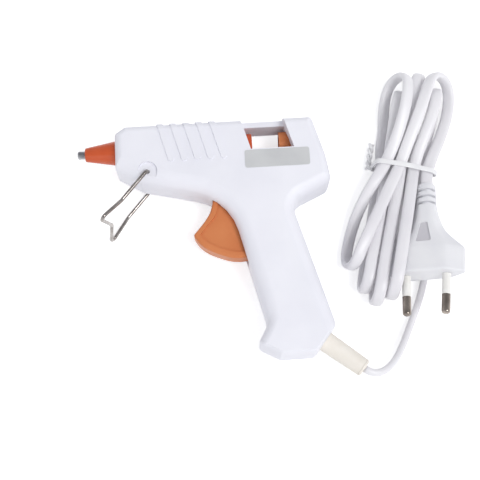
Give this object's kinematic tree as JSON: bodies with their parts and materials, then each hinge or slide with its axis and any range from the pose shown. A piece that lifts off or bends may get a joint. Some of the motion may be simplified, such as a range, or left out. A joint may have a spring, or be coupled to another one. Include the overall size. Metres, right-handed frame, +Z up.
{
  "type": "hot glue applicator",
  "caption": "Small pistol-shaped hot glue applicator with wire stand, feed window, trigger, silicone-covered nozzle, and mains flex tied in a hank with its flat plug.",
  "frame": {"origin": "centre of the gun's footprint on the table, at the height of the table", "axes": "+X along the barrel to its rear, +Y from the handle's foot to the roof of the barrel, +Z up from the table, out of the gun's left side"},
  "size_m": [0.1825, 0.1466, 0.0387],
  "materials": {
    "white_shell": "satin moulded",
    "orange_plastic": "satin moulded",
    "orange_silicone": "matt",
    "aluminium": "cast",
    "steel": "plated",
    "chrome_wire": "bright",
    "brass": "bare",
    "ceramic": "fired ceramic",
    "film": "amber film",
    "cream_rubber": "matt",
    "white_flex": "smooth satin",
    "white_plug": "satin moulded",
    "brown_wire": "smooth",
    "blue_wire": "smooth"
  },
  "bodies": {
    "housing": {"housing_left": "white_shell", "housing_right": "white_shell", "housing_screws": "steel", "nozzle_tip": "aluminium", "nozzle_cover": "orange_silicone", "melt_chamber": "aluminium", "heater_element": "ceramic", "heater_contacts": "brass", "heater_insulation": "film", "inlet_sleeve": "orange_silicone", "sleeve_clamp": "steel", "trigger_pin": "steel", "trigger_spring": "steel", "strain_relief": "cream_rubber", "inner_cord": "white_flex", "cord_grip": "white_shell", "cord_grip_screws": "steel", "wire_live": "brown_wire", "wire_neutral": "blue_wire", "wire_terminals": "steel", "cord_lead": "white_flex", "cord_hank": "white_flex", "cord_tail": "white_flex", "cord_tie": "white_flex", "plug_body": "white_plug", "plug_pins": "steel", "plug_pin_sleeves": "white_plug"},
    "trigger": {"trigger": "orange_plastic", "feed_pin": "steel"},
    "feed_collar": {"feed_collar": "orange_plastic"},
    "stand": {"stand": "chrome_wire"}
  },
  "joints": [
    {"name": "trigger_pull", "type": "hinge", "parent": "housing", "child": "trigger", "pos_m": [0.01006, 0.01545, 0.01553], "axis": [0.0637, 0, 0.998], "range_deg": [0, 20], "stiffness_Nm_per_rad": 0.12, "springref_deg": -8.59, "deforming": ["trigger_spring"]},
    {"name": "collar_feed", "type": "slide", "parent": "housing", "child": "feed_collar", "axis": [0.998, 0, -0.0637], "range_m": [-0.0085, 0]},
    {"name": "stand_fold", "type": "hinge", "parent": "housing", "child": "stand", "pos_m": [-0.03066, 0.03674, 0.01812], "axis": [0.0637, 0, 0.998], "range_deg": [0, 95]}
  ],
  "couplings": [
    {"joint": "collar_feed", "follows": "trigger_pull", "m_per_rad": -0.024292}
  ]
}
